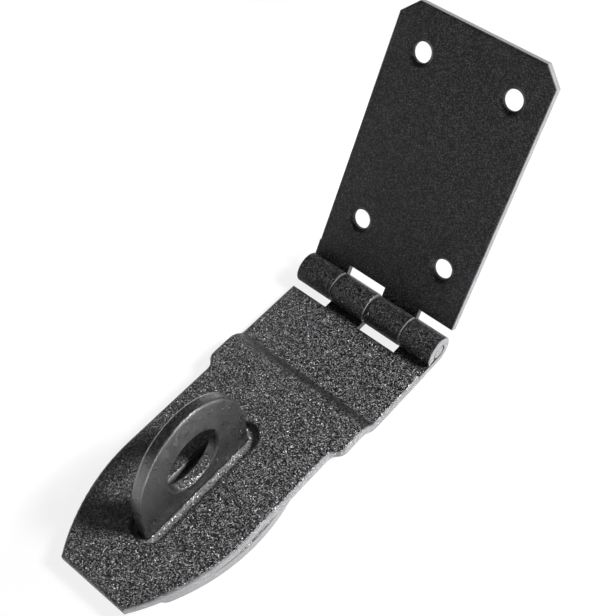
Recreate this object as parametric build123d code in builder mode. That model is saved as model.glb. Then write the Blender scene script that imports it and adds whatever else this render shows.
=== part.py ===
"""Hasp: a screw-on leaf and a joggled strap hinged on one pin, with a padlock staple in the strap's slot.

Millimetres, Z up. The part lies on z = 0 with the hinge pin along X and the strap running towards -Y. The origin
is the middle of the footprint. The leaf stands up from the strap at the angle it was left at.
"""

import os
from math import asin, atan, atan2, cos, degrees, radians, sin

from build123d import *

# Sheet, pin and barrel
sheet = 2.0
width = 40.5
pin_dia = 3.8
pin_play = 0.1
pin_chamfer = 0.4
edge_round = 0.5
curl_round = 0.3
seam_gap = 0.3
knuckle_cuts = (-9.9, 0.45, 11.05)
knuckle_gap = 0.4

# Leaf
leaf_angle = 62.0
leaf_length = 70.6
leaf_notch = 5.5
leaf_clip = 4.0
screw_dia = 4.8
countersink_dia = 6.6
screw_across = 24.0
screw_along = 42.7
screw_edge = 10.35

# Strap
strap_length = 91.2
strap_notch = 5.2
strap_round = 0.9
joggle_start = 22.8
joggle_run = 6.0
shoulder_start = 33.7
shoulder_run = 4.4
shoulder_step = 2.05
nose_run = 28.2
nose_radius = 49.0
slot_length = 36.1
slot_width = 8.6
slot_middle = 60.4

# Staple
plate_thick = 2.8
plate_length = 46.4
plate_width = 37.2
plate_radius = 48.0
plate_corner = 3.0
fin_thick = 2.8
fin_length = 31.8
root_clear = 0.45
fin_side = 11.5
fin_height = 31.5
arch_swell = 1.2
fin_round = 0.6
root_round = 1.0
eye_length = 14.3
eye_height = 15.8
eye_middle = 15.1
plate_screw_across = 21.0
plate_screw_along = 22.0

# Sizes that follow from the ones above
pin_r = pin_dia / 2
leaf_bore_r = pin_r
strap_bore_r = pin_r + pin_play
leaf_barrel_r = leaf_bore_r + sheet
strap_barrel_r = strap_bore_r + sheet
axis_z = strap_barrel_r
strap_neck = width - 2 * shoulder_step
nose_start = strap_length - nose_run
joggle_rise = plate_thick
tilt = radians(leaf_angle)
reach_front = leaf_length * cos(tilt) + leaf_barrel_r * sin(tilt)
hinge_y = (strap_length - reach_front) / 2
staple_y = hinge_y - slot_middle - slot_length / 2 + root_clear + root_round + fin_length / 2

lefts = (-width / 2, *(cut + knuckle_gap / 2 for cut in knuckle_cuts))
rights = (*(cut - knuckle_gap / 2 for cut in knuckle_cuts), width / 2)
spans = list(zip(lefts, rights))

hinge = Vector(0, hinge_y, axis_z)
along_leaf = Vector(0, cos(tilt), sin(tilt))
leaf_front = Vector(0, -sin(tilt), cos(tilt))
strap_side = Plane(hinge, x_dir=(0, 1, 0), z_dir=(1, 0, 0))
strap_plan = Plane((0, hinge_y, 0))
leaf_side = Plane(hinge, x_dir=along_leaf, z_dir=(1, 0, 0))
leaf_face = Plane(hinge - leaf_front * leaf_bore_r, x_dir=(1, 0, 0), z_dir=leaf_front)
staple_plan = Plane((0, staple_y, 0))
staple_side = Plane((0, staple_y, 0), x_dir=(0, 1, 0), z_dir=(1, 0, 0))


def curl_turn(bore_r):
    """Degrees a curl turns from its own sheet before it stops, a seam gap short of that sheet."""
    return 270 + degrees(asin((bore_r - seam_gap) / (bore_r + sheet)))


# Rolled knuckles of the leaf. Each ends in a short tongue that runs into the leaf's plate.
with BuildPart() as leaf_curls:
    for start, end in (spans[0], spans[2]):
        with BuildSketch(leaf_side.offset(start)):
            with BuildLine():
                outside = CenterArc((0, 0), leaf_barrel_r, 270, -curl_turn(leaf_bore_r))
                inside = CenterArc((0, 0), leaf_bore_r, 270, -curl_turn(leaf_bore_r))
                Line(outside @ 1, inside @ 1)
                Polyline(
                    outside @ 0,
                    (leaf_notch + sheet, -leaf_barrel_r),
                    (leaf_notch + sheet, -leaf_bore_r),
                    inside @ 0,
                )
            make_face()
        extrude(amount=end - start)
    rims = leaf_curls.edges().filter_by(GeomType.CIRCLE).group_by(SortBy.RADIUS)[-1]
    fillet(rims, curl_round)

# The leaf: a plate with two clipped corners and four countersunk holes, joined to its knuckles.
with BuildPart() as leaf:
    with BuildSketch(leaf_face) as leaf_outline:
        with Locations((0, leaf_notch)):
            Rectangle(width, leaf_length - leaf_notch, align=(Align.CENTER, Align.MIN))
        chamfer(leaf_outline.vertices().group_by(Axis.Y)[-1], leaf_clip)
    extrude(amount=-sheet)
    fillet(leaf.faces().sort_by(Axis(hinge, leaf_front))[-1].edges(), edge_round)
    add(leaf_curls.part)
    with Locations(leaf_face):
        with Locations((0, leaf_length - screw_edge - screw_along / 2)):
            with GridLocations(screw_across, screw_along, 2, 2):
                CounterSinkHole(screw_dia / 2, countersink_dia / 2, 2 * sheet, 90)

# Rolled knuckles of the strap, loose on the pin.
with BuildPart() as strap_curls:
    for start, end in (spans[1], spans[3]):
        with BuildSketch(strap_side.offset(start)):
            with BuildLine():
                outside = CenterArc((0, 0), strap_barrel_r, 270, curl_turn(strap_bore_r))
                inside = CenterArc((0, 0), strap_bore_r, 270, curl_turn(strap_bore_r))
                Line(outside @ 1, inside @ 1)
                Polyline(
                    outside @ 0,
                    (-strap_notch - sheet, -strap_barrel_r),
                    (-strap_notch - sheet, -strap_bore_r),
                    inside @ 0,
                )
            make_face()
        extrude(amount=end - start)
    rims = strap_curls.edges().filter_by(GeomType.CIRCLE).group_by(SortBy.RADIUS)[-1]
    fillet(rims, curl_round)

# The strap: flat, joggle and raised flat of one thickness, trimmed to the outline seen from above.
with BuildPart() as strap:
    bend = 2 * atan(joggle_rise / joggle_run)
    bend_r = joggle_run / (2 * sin(bend))
    middle = strap_bore_r + sheet / 2
    lower = (-joggle_start, bend_r - middle)
    upper = (-joggle_start - joggle_run, joggle_rise - bend_r - middle)
    with BuildSketch(strap_side):
        with BuildLine():
            under = CenterArc(lower, bend_r + sheet / 2, 270, -degrees(bend))
            over = CenterArc(lower, bend_r - sheet / 2, 270, -degrees(bend))
            under_rise = CenterArc(upper, bend_r - sheet / 2, 90 - degrees(bend), degrees(bend))
            over_rise = CenterArc(upper, bend_r + sheet / 2, 90 - degrees(bend), degrees(bend))
            Polyline(
                under @ 0,
                (-strap_notch, -strap_barrel_r),
                (-strap_notch, -strap_bore_r),
                over @ 0,
            )
            Polyline(
                under_rise @ 1,
                (-strap_length, joggle_rise - strap_barrel_r),
                (-strap_length, joggle_rise - strap_bore_r),
                over_rise @ 1,
            )
        make_face()
    extrude(amount=width / 2, both=True)
    swing = 2 * atan(shoulder_step / shoulder_run)
    swing_r = shoulder_run / (2 * sin(swing))
    nose = degrees(asin(nose_run / nose_radius))
    with BuildSketch(strap_plan):
        with BuildLine():
            full = CenterArc((width / 2 - swing_r, -shoulder_start), swing_r, 0, -degrees(swing))
            neck = CenterArc(
                (strap_neck / 2 + swing_r, -shoulder_start - shoulder_run),
                swing_r,
                180 - degrees(swing),
                degrees(swing),
            )
            curve = CenterArc((strap_neck / 2 - nose_radius, -nose_start), nose_radius, 0, -nose)
            Polyline((0, 0), (width / 2, 0), full @ 0)
            Line(neck @ 1, curve @ 0)
            Line(curve @ 1, (0, -strap_length))
            mirror(about=Plane.YZ)
        make_face()
        with Locations((0, -slot_middle)):
            SlotOverall(slot_length, slot_width, rotation=90, mode=Mode.SUBTRACT)
    extrude(amount=2 * axis_z, mode=Mode.INTERSECT)
    skin = strap.faces().filter_by(lambda face: face.normal_at().Z > 0.5).edges()
    across = skin.filter_by(Axis.X).sort_by(Axis.Y)
    sides = skin.filter_by(Axis.X, reverse=True).filter_by(lambda edge: abs(edge.center().X) > slot_width)
    fillet(sides + [across[0], across[-1]], strap_round)
    fillet(strap.faces().filter_by(Axis.Z).sort_by(Axis.Z)[-1].inner_wires()[0].edges(), edge_round)
    add(strap_curls.part)

with BuildPart() as hinge_pin:
    with BuildSketch(strap_side):
        Circle(pin_r)
    extrude(amount=width / 2, both=True)
    chamfer(hinge_pin.edges().filter_by(GeomType.CIRCLE), pin_chamfer)

# The staple: a base plate with bowed sides, and a fin with a three-arc top and an oblong eye.
with BuildPart() as staple:
    spring = fin_height - fin_side
    arch_radius = arch_swell * spring
    flank = arch_radius - fin_length / 2
    crown_r = (arch_radius**2 - flank**2 - spring**2) / (2 * (arch_radius - spring))
    lean = degrees(atan2(spring - crown_r, flank))
    with BuildSketch(staple_side):
        with BuildLine():
            near = CenterArc((-flank, fin_side), arch_radius, 0, lean)
            CenterArc((0, fin_height - crown_r), crown_r, lean, 180 - 2 * lean)
            far = CenterArc((flank, fin_side), arch_radius, 180 - lean, lean)
            Polyline(far @ 1, (-fin_length / 2, 0), (fin_length / 2, 0), near @ 0)
        make_face()
        with Locations((0, eye_middle)):
            SlotOverall(eye_height, eye_length, rotation=90, mode=Mode.SUBTRACT)
    extrude(amount=fin_thick / 2, both=True)
    edges = staple.edges().filter_by(Axis.X, reverse=True).group_by(Axis.Z)[1:]
    fillet([edge for level in edges for edge in level], fin_round)
    bow = degrees(asin(plate_length / 2 / plate_radius))
    with BuildSketch(staple_plan) as plate_outline:
        with BuildLine():
            side = CenterArc((plate_width / 2 - plate_radius, 0), plate_radius, -bow, 2 * bow)
            Line(side @ 1, (0, plate_length / 2))
            Line(side @ 0, (0, -plate_length / 2))
            mirror(about=Plane.YZ)
        make_face()
        ends = plate_outline.vertices().filter_by(lambda corner: abs(corner.X) > plate_corner)
        fillet(ends, plate_corner)
    extrude(amount=plate_thick)
    top = staple.faces().filter_by(Axis.Z).filter_by(lambda face: face.normal_at().Z > 0.5).sort_by(SortBy.AREA)[-1]
    fillet(top.outer_wire().edges(), edge_round)
    top = staple.faces().filter_by(Axis.Z).filter_by(lambda face: face.normal_at().Z > 0.5).sort_by(SortBy.AREA)[-1]
    fillet(top.inner_wires()[0].edges(), root_round)
    with Locations(staple_plan.offset(plate_thick)):
        with GridLocations(plate_screw_across, plate_screw_along, 2, 2):
            CounterSinkHole(screw_dia / 2, countersink_dia / 2, 2 * plate_thick, 90)

os.makedirs("parts", exist_ok=True)
for name, made in (("leaf", leaf), ("strap", strap), ("hinge_pin", hinge_pin), ("staple", staple)):
    made.part.label = name
    export_step(made.part, f"parts/{name}.step")
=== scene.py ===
"""Looks for a hasp: coarse black powder coat on the leaf, strap, staple and pin, on a white studio table."""

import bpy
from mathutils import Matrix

bl_info = {
    "name": "Hasp",
    "version": (1, 0, 0),
    "blender": (4, 5, 0),
    "location": "3D View > Sidebar > Hasp",
    "description": "Coats the pieces of a hasp and sets them on a white studio table",
    "category": "Object",
}

from math import cos, radians, sin

import bpy
from bpy.props import FloatProperty, FloatVectorProperty, PointerProperty
from mathutils import Matrix, Vector

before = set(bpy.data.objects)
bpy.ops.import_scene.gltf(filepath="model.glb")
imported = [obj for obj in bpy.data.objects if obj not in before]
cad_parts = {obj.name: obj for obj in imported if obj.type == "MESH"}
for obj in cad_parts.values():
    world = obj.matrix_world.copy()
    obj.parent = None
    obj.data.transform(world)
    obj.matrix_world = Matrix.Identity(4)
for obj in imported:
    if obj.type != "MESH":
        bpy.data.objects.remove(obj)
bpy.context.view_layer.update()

# Where the coat's grain and the painted highlight on its edges change, as the start and end of each change in
# metres. Heights are over the table, sides are distances from the middle of the hasp, and the strap's barrel
# is placed along the hasp.
LEAF_TILT = radians(62)
LEAF_TOP = (0.0615, 0.062)
LEAF_SIDE = (0.0185, 0.019)
LEAF_FOOT = (0.008, 0.0085)
LEAF_BARREL = (0.0075, 0.0085)
STRAP_BARREL = (0.018, 0.023)
PLATE_TOP = (0.0026, 0.0028)
BEAD_TOP = (0.0031, 0.0035)
BEAD_SIDE = (0.0036, 0.0042)
FIN_FOOT = (0.009, 0.0095)

# Stage, in metres. The turn has the picture's right, up and back directions as its columns.
TABLE_REACH = 1.5
TABLE_LEVEL = -0.0001
HORIZON = (0.15, 0.35)
HASP_MIDDLE = (0, -0.01, 0.01)
SENSOR_WIDTH = 36
VIEW_TURN = Matrix(
    (
        (0.760278, -0.51247, 0.399189),
        (0.649335, 0.617001, -0.444605),
        (-0.018454, 0.597231, 0.801857),
    )
)

MATH = "ShaderNodeMath"
VECTOR_MATH = "ShaderNodeVectorMath"
RANGE = "ShaderNodeMapRange"
TIMES = {"operation": "MULTIPLY"}
LARGER = {"operation": "MAXIMUM"}
UNSIGNED = {"operation": "ABSOLUTE"}
SMOOTH = {"interpolation_type": "SMOOTHSTEP"}
COLOURS = {"data_type": "RGBA"}


def linear(code):
    """The linear colour of an sRGB hex code."""
    parts = [int(code[i : i + 2], 16) / 255 for i in (1, 3, 5)]
    return tuple(c / 12.92 if c <= 0.04045 else ((c + 0.055) / 1.055) ** 2.4 for c in parts)


def colour(name, description, code):
    """A colour property whose default is an sRGB hex code."""
    return FloatVectorProperty(
        name=name, description=description, subtype="COLOR", size=3, min=0, max=1, default=linear(code)
    )


def size(name, description, millimetres):
    """A length property whose default is given in millimetres."""
    metres = millimetres / 1000
    return FloatProperty(
        name=name, description=description, subtype="DISTANCE", unit="LENGTH", min=0, default=metres
    )


def share(name, description, value, most=1.0):
    """A plain number property."""
    return FloatProperty(name=name, description=description, subtype="FACTOR", min=0, max=most, default=value)


def power(name, description, watts):
    """A lamp's power property."""
    return FloatProperty(name=name, description=description, unit="POWER", min=0, default=watts)


def add(tree, kind, settings, inputs):
    """Adds a node. Each input, named or in order, gets a value, or a link from a node or a socket."""
    node = tree.nodes.new(kind)
    for key, value in settings.items():
        setattr(node, key, value)
    for key, value in inputs.items() if isinstance(inputs, dict) else enumerate(inputs):
        if isinstance(value, bpy.types.Node):
            value = value.outputs[0]
        if isinstance(value, bpy.types.NodeSocket):
            tree.links.new(value, node.inputs[key])
        else:
            node.inputs[key].default_value = value
    return node


class CoatSettings(bpy.types.PropertyGroup):
    """Colours, grain and shine of the coat."""

    dark: colour("Hollows", "Colour in the hollows of the grain", "#060607")
    pale: colour("Grains", "Colour on top of the grains", "#828284")
    # Painted highlight: a pale colour laid on the cut edges, the pin's ends, the staple's plate rim and the
    # fin's root bead, in place of the light these catch.
    edge_highlight: colour("Cut edges", "Colour of the cut edges, where the coat is thin", "#7C7C7E")
    grain: size("Grain", "Width of one grain of the coat", 0.2)
    relief: size("Relief", "Height of the slow swell of the coat", 0.01)
    coarse: share("Coarse grain", "How far the grains lean on rough faces", 1.2, 3)
    fine: share("Fine grain", "How far the grains lean on smooth faces", 0.3, 3)
    crest: share("Crests", "How tightly the grains' own colour keeps to their tops", 3.0, 8)
    smooth: share("Smooth faces", "Share of the grains' own colour that smooth faces show", 0.22)
    gloss: share("Gloss coat", "Roughness of the coat on the strap and the staple", 0.32)
    satin: share("Satin coat", "Roughness of the coat on the leaf and the pin", 0.5)
    mottle: share("Mottle", "How far the roughness strays from place to place", 0.06)
    leaf_shine: share("Leaf shine", "Specular level of the leaf's coat", 0.15)
    strap_shine: share("Strap shine", "Specular level of the strap's coat", 0.35)
    staple_shine: share("Staple shine", "Specular level of the staple's coat", 1.0)
    pin_shine: share("Pin shine", "Specular level of the pin's coat", 0.5)


class StageSettings(bpy.types.PropertyGroup):
    """Table, lamps and camera."""

    table: colour("Table", "Colour of the table", "#FAFAFA")
    glow: share("Table glow", "Share of plain white in the table as the eye and reflections get it", 0.85)
    room: share("Room light", "Strength of the even light over the horizon", 0.06, 5)
    key: power("Key lamp", "Power of the lamp on the right", 7.4)
    wash: power("Right table lamp", "Power of the lamp on the table at the right", 2.0)
    fill: power("Left table lamp", "Power of the lamp on the table at the left", 1.2)
    side: power("Side lamp", "Power of the low lamp on the right", 0.8)
    lens: FloatProperty(
        name="Lens", description="Focal length in millimetres", subtype="DISTANCE_CAMERA", default=65.51
    )
    eye: FloatVectorProperty(
        name="Camera",
        description="Where the camera stands",
        subtype="TRANSLATION",
        default=(0.095933, -0.102199, 0.220125),
    )


def powder_coat(name, settings, shine, roughness, highlight_mask, level=None):
    """Powder coat on steel sheet, cured from sprayed grains that melt into a pebbled skin.

    The eye gets a near-black skin whose grains catch a lamp one by one. The cut edges get a paler colour, a
    painted highlight in place of the light they catch. The finest real grains are about 0.1 mm wide, and are
    drawn at 0.2 mm so that they show.
    """
    made = bpy.data.materials.new(name)
    made.use_nodes = True
    tree = made.node_tree
    tree.nodes.clear()
    spot = add(tree, "ShaderNodeTexCoord", {}, ())
    place = spot.outputs["Object"]
    where = add(tree, "ShaderNodeSeparateXYZ", {}, (place,))
    facing = add(tree, "ShaderNodeSeparateXYZ", {}, (spot.outputs["Normal"],))
    lean = settings.fine
    paleness = settings.smooth
    if level:
        laid = level(tree, where, facing)
        lean = add(tree, RANGE, SMOOTH, (laid, 0.0, 1.0, settings.fine, settings.coarse))
        paleness = add(tree, RANGE, SMOOTH, (laid, 0.0, 1.0, settings.smooth, 1.0))
    # Painted highlight: the mask of where the cut edges take the pale edge colour in place of the light they
    # catch.
    painted_highlight = highlight_mask(tree, where, facing)

    # Each grain leans its own way on a skin that swells slowly over about a dozen grains.
    per_grain = 1 / settings.grain
    per_swell = 1 / (12 * settings.grain)
    grain = add(tree, "ShaderNodeTexVoronoi", {}, {"Vector": place, "Scale": per_grain})
    noise = add(tree, "ShaderNodeTexNoise", {}, {"Vector": place, "Scale": per_swell, "Detail": 2.0})
    drift = noise.outputs["Fac"]
    swell = add(tree, "ShaderNodeBump", {}, {"Strength": 1.0, "Distance": settings.relief, "Height": drift})
    offset = add(tree, VECTOR_MATH, {"operation": "SUBTRACT"}, (grain.outputs["Color"], (0.5, 0.5, 0.5)))
    turned = add(tree, VECTOR_MATH, {"operation": "SCALE"}, {0: offset, "Scale": lean})
    facet = add(tree, VECTOR_MATH, {"operation": "ADD"}, (turned, swell))
    skin = add(tree, VECTOR_MATH, {"operation": "NORMALIZE"}, (facet,))

    split = add(tree, "ShaderNodeSeparateColor", {}, (grain.outputs["Color"],))
    crest = add(tree, MATH, {"operation": "POWER"}, (split.outputs["Red"], settings.crest))
    shown = add(tree, MATH, TIMES, (crest, paleness))
    body = add(tree, "ShaderNodeMix", COLOURS, {0: shown, 6: (*settings.dark, 1), 7: (*settings.pale, 1)})
    # The painted edge highlight is laid over the grains' colour here.
    tint_and_highlight = add(tree, "ShaderNodeMix", COLOURS, {0: painted_highlight, 6: body.outputs[2], 7: (*settings.edge_highlight, 1)})
    least = roughness - settings.mottle
    most = roughness + settings.mottle
    matt = add(tree, RANGE, {}, (drift, 0.3, 0.7, least, most))
    shader = add(
        tree,
        "ShaderNodeBsdfPrincipled",
        {},
        {
            "Base Color": tint_and_highlight.outputs[2],
            "Roughness": matt,
            "IOR": 1.6,
            "Specular IOR Level": shine,
            "Normal": skin,
        },
    )
    add(tree, "ShaderNodeOutputMaterial", {}, {"Surface": shader})
    return made


def side_edge_highlight(tree, where, facing):
    """Mask of the painted edge highlight: 1 on the long cut edges of a sheet or the ends of the pin, 0
    elsewhere.
    """
    across = add(tree, MATH, UNSIGNED, (facing.outputs["X"],))
    return add(tree, RANGE, SMOOTH, (across, 0.3, 0.9))


def leaf_edge_highlight(tree, where, facing):
    """Mask of the painted edge highlight: 1 on the cut edges of the leaf and the ends of its knuckles, 0 on
    its skins and in its holes.
    """
    out = add(tree, MATH, TIMES, (facing.outputs["Y"], -sin(LEAF_TILT)))
    front = add(tree, MATH, {"operation": "MULTIPLY_ADD"}, (facing.outputs["Z"], cos(LEAF_TILT), out))
    upright = add(tree, RANGE, SMOOTH, (add(tree, MATH, UNSIGNED, (front,)), 0.2, 0.8, 1.0, 0.0))
    top = add(tree, RANGE, SMOOTH, (where.outputs["Z"], *LEAF_TOP))
    side = add(tree, RANGE, SMOOTH, (add(tree, MATH, UNSIGNED, (where.outputs["X"],)), *LEAF_SIDE))
    flat = add(tree, RANGE, SMOOTH, (where.outputs["Z"], *LEAF_FOOT))
    outer = add(tree, MATH, TIMES, (add(tree, MATH, LARGER, (top, side)), flat))
    barrel = add(tree, MATH, {"operation": "SUBTRACT"}, (1.0, flat))
    ends = add(tree, MATH, TIMES, (side_edge_highlight(tree, where, facing), barrel))
    return add(tree, MATH, LARGER, (add(tree, MATH, TIMES, (upright, outer)), ends))


def staple_edge_highlight(tree, where, facing):
    """Mask of the painted edge highlight: 1 on the cut rim of the staple's base plate and less on the bead at
    the fin's root, 0 elsewhere.
    """
    steep = add(tree, MATH, UNSIGNED, (facing.outputs["Z"],))
    upright = add(tree, RANGE, SMOOTH, (steep, 0.1, 0.7, 1.0, 0.0))
    low = add(tree, RANGE, SMOOTH, (where.outputs["Z"], *PLATE_TOP, 1.0, 0.0))
    rim = add(tree, MATH, TIMES, (upright, low))
    # Painted highlight: the up-facing bead at the fin's root, inside the slot, gets most of the pale edge
    # colour in place of the light it catches.
    bead = add(tree, RANGE, SMOOTH, (where.outputs["Z"], *BEAD_TOP, 0.8, 0.0))
    rounded = add(tree, RANGE, SMOOTH, (facing.outputs["Z"], 0.6, 0.9))
    aside = add(tree, MATH, UNSIGNED, (where.outputs["X"],))
    near = add(tree, RANGE, SMOOTH, (aside, *BEAD_SIDE, 1.0, 0.0))
    root = add(tree, MATH, TIMES, (add(tree, MATH, TIMES, (bead, rounded)), near))
    return add(tree, MATH, LARGER, (rim, root))


def leaf_grain(tree, where, facing):
    """Smooth on the plate of the leaf, a little rougher on its knuckles."""
    return add(tree, RANGE, SMOOTH, (where.outputs["Z"], *LEAF_BARREL, 0.4, 0.0))


def strap_grain(tree, where, facing):
    """Rough on the flats of the strap, smoother on its knuckles and its rounded edges. The joggle's slope is
    smoother and has fewer pale grains, a painted shade that renders it darker.
    """
    flat = add(tree, RANGE, SMOOTH, (where.outputs["Y"], *STRAP_BARREL, 1.0, 0.4))
    across = add(tree, MATH, UNSIGNED, (facing.outputs["X"],))
    inner = add(tree, RANGE, SMOOTH, (across, 0.15, 0.45, 1.0, 0.0))
    # Painted shade: the joggle's slope keeps fewer pale grains and less lean than the flats, so it renders
    # darker as if in shade.
    joggle_shade = add(tree, RANGE, SMOOTH, (facing.outputs["Y"], 0.02, 0.7, 1.0, 0.25))
    return add(tree, MATH, TIMES, (add(tree, MATH, TIMES, (flat, inner)), joggle_shade))


def staple_grain(tree, where, facing):
    """Rough on the base plate and the foot of the eye, smooth on the fin."""
    foot = add(tree, RANGE, SMOOTH, (where.outputs["Z"], *FIN_FOOT, 1.0, 0.0))
    up = add(tree, RANGE, SMOOTH, (facing.outputs["Z"], 0.5, 0.8))
    return add(tree, MATH, TIMES, (foot, up))


def coat(name, made):
    """Gives a CAD node its coat."""
    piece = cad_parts[name]
    piece.data.materials.clear()
    piece.data.materials.append(made)


class HASP_OT_leaf(bpy.types.Operator):
    """Coat the screw-on leaf"""

    bl_idname = "hasp.leaf"
    bl_label = "Coat the leaf"

    def execute(self, context):
        settings = context.scene.hasp_coat
        made = powder_coat(
            "leaf_powder_coat", settings, settings.leaf_shine, settings.satin, leaf_edge_highlight, leaf_grain
        )
        coat("leaf", made)
        return {"FINISHED"}


class HASP_OT_strap(bpy.types.Operator):
    """Coat the slotted strap"""

    bl_idname = "hasp.strap"
    bl_label = "Coat the strap"

    def execute(self, context):
        settings = context.scene.hasp_coat
        made = powder_coat(
            "strap_powder_coat", settings, settings.strap_shine, settings.gloss, side_edge_highlight, strap_grain
        )
        coat("strap", made)
        return {"FINISHED"}


class HASP_OT_staple(bpy.types.Operator):
    """Coat the padlock staple"""

    bl_idname = "hasp.staple"
    bl_label = "Coat the staple"

    def execute(self, context):
        settings = context.scene.hasp_coat
        made = powder_coat(
            "staple_powder_coat", settings, settings.staple_shine, settings.gloss, staple_edge_highlight, staple_grain
        )
        coat("staple", made)
        return {"FINISHED"}


class HASP_OT_pin(bpy.types.Operator):
    """Coat the hinge pin"""

    bl_idname = "hasp.pin"
    bl_label = "Coat the hinge pin"

    def execute(self, context):
        settings = context.scene.hasp_coat
        made = powder_coat("pin_powder_coat", settings, settings.pin_shine, settings.satin, side_edge_highlight)
        coat("hinge_pin", made)
        return {"FINISHED"}


def soft_lamp(name, place, aim, wide, high, watts, spread=180):
    """A rectangular soft lamp at a place, turned to an aim."""
    lamp = bpy.data.lights.new(name, "AREA")
    lamp.shape = "RECTANGLE"
    lamp.size = wide
    lamp.size_y = high
    lamp.energy = watts
    lamp.spread = radians(spread)
    holder = bpy.data.objects.new(name, lamp)
    holder.location = place
    holder.rotation_euler = (Vector(aim) - Vector(place)).to_track_quat("-Z", "Y").to_euler()
    bpy.context.scene.collection.objects.link(holder)


class HASP_OT_stage(bpy.types.Operator):
    """Set the white table, the lamps and the camera"""

    bl_idname = "hasp.stage"
    bl_label = "Set the stage"

    def execute(self, context):
        scene = context.scene
        settings = scene.hasp_stage
        scene.view_settings.view_transform = "Standard"

        # White laminate table: it shows white to the eye and in reflections, and keeps a faint shadow.
        white = bpy.data.materials.new("white_laminate")
        white.use_nodes = True
        tree = white.node_tree
        tree.nodes.clear()
        rays = add(tree, "ShaderNodeLightPath", {}, ())
        seen = add(tree, MATH, LARGER, (rays.outputs["Is Camera Ray"], rays.outputs["Is Glossy Ray"]))
        passed = add(tree, MATH, LARGER, (seen, rays.outputs["Is Transmission Ray"]))
        part = add(tree, MATH, TIMES, (passed, settings.glow))
        matt = add(tree, "ShaderNodeBsdfDiffuse", {}, {"Color": (*settings.table, 1)})
        glow = add(tree, "ShaderNodeEmission", {}, {"Color": (1, 1, 1, 1), "Strength": 1.0})
        both = add(tree, "ShaderNodeMixShader", {}, (part, matt, glow))
        add(tree, "ShaderNodeOutputMaterial", {}, {"Surface": both})

        mesh = bpy.data.meshes.new("table")
        signs = ((-1, -1), (1, -1), (1, 1), (-1, 1))
        corners = [(x * TABLE_REACH, y * TABLE_REACH, TABLE_LEVEL) for x, y in signs]
        mesh.from_pydata(corners, [], [(0, 1, 2, 3)])
        mesh.materials.append(white)
        table = bpy.data.objects.new("table", mesh)
        scene.collection.objects.link(table)

        # White paper sweep up to a little above the horizon, and a dim room over it.
        world = bpy.data.worlds.new("studio")
        world.use_nodes = True
        tree = world.node_tree
        tree.nodes.clear()
        spot = add(tree, "ShaderNodeTexCoord", {}, ())
        heading = add(tree, "ShaderNodeSeparateXYZ", {}, (spot.outputs["Generated"],))
        shade = add(tree, RANGE, SMOOTH, (heading.outputs["Z"], *HORIZON, 1.0, settings.room))
        room = add(tree, "ShaderNodeBackground", {}, {"Color": (1, 1, 1, 1), "Strength": shade})
        add(tree, "ShaderNodeOutputWorld", {}, {"Surface": room})
        scene.world = world

        soft_lamp("key_lamp", (0.42, 0.28, 0.50), HASP_MIDDLE, 0.16, 0.16, settings.key)
        soft_lamp("side_lamp", (0.50, 0.15, 0.10), HASP_MIDDLE, 0.40, 0.16, settings.side)
        soft_lamp("right_table_lamp", (0.16, -0.08, 0.30), (0.16, -0.08, 0.0), 0.24, 0.22, settings.wash, 8)
        soft_lamp("left_table_lamp", (-0.16, -0.05, 0.30), (-0.16, -0.05, 0.0), 0.24, 0.26, settings.fill, 8)

        camera = bpy.data.cameras.new("camera")
        camera.lens = settings.lens
        camera.sensor_width = SENSOR_WIDTH
        camera.clip_start = 0.01
        holder = bpy.data.objects.new("camera", camera)
        holder.matrix_world = Matrix.Translation(settings.eye) @ VIEW_TURN.to_4x4()
        scene.collection.objects.link(holder)
        scene.camera = holder
        return {"FINISHED"}


class HASP_PT_build(bpy.types.Panel):
    """Lists the steps that make the hasp"""

    bl_idname = "HASP_PT_build"
    bl_label = "Hasp"
    bl_space_type = "VIEW_3D"
    bl_region_type = "UI"
    bl_category = "Hasp"

    def draw(self, context):
        layout = self.layout
        for group in (context.scene.hasp_coat, context.scene.hasp_stage):
            box = layout.box()
            for key in group.__annotations__:
                box.prop(group, key)
        for operator in STEPS:
            layout.operator(operator.bl_idname)


STEPS = (HASP_OT_leaf, HASP_OT_strap, HASP_OT_staple, HASP_OT_pin, HASP_OT_stage)
CLASSES = (CoatSettings, StageSettings, *STEPS, HASP_PT_build)


def register():
    for made in CLASSES:
        bpy.utils.register_class(made)
    bpy.types.Scene.hasp_coat = PointerProperty(type=CoatSettings)
    bpy.types.Scene.hasp_stage = PointerProperty(type=StageSettings)


def unregister():
    del bpy.types.Scene.hasp_stage
    del bpy.types.Scene.hasp_coat
    for made in reversed(CLASSES):
        bpy.utils.unregister_class(made)


def main():
    register()
    bpy.ops.hasp.leaf()
    bpy.ops.hasp.strap()
    bpy.ops.hasp.staple()
    bpy.ops.hasp.pin()
    bpy.ops.hasp.stage()


if __name__ == "__main__":
    main()
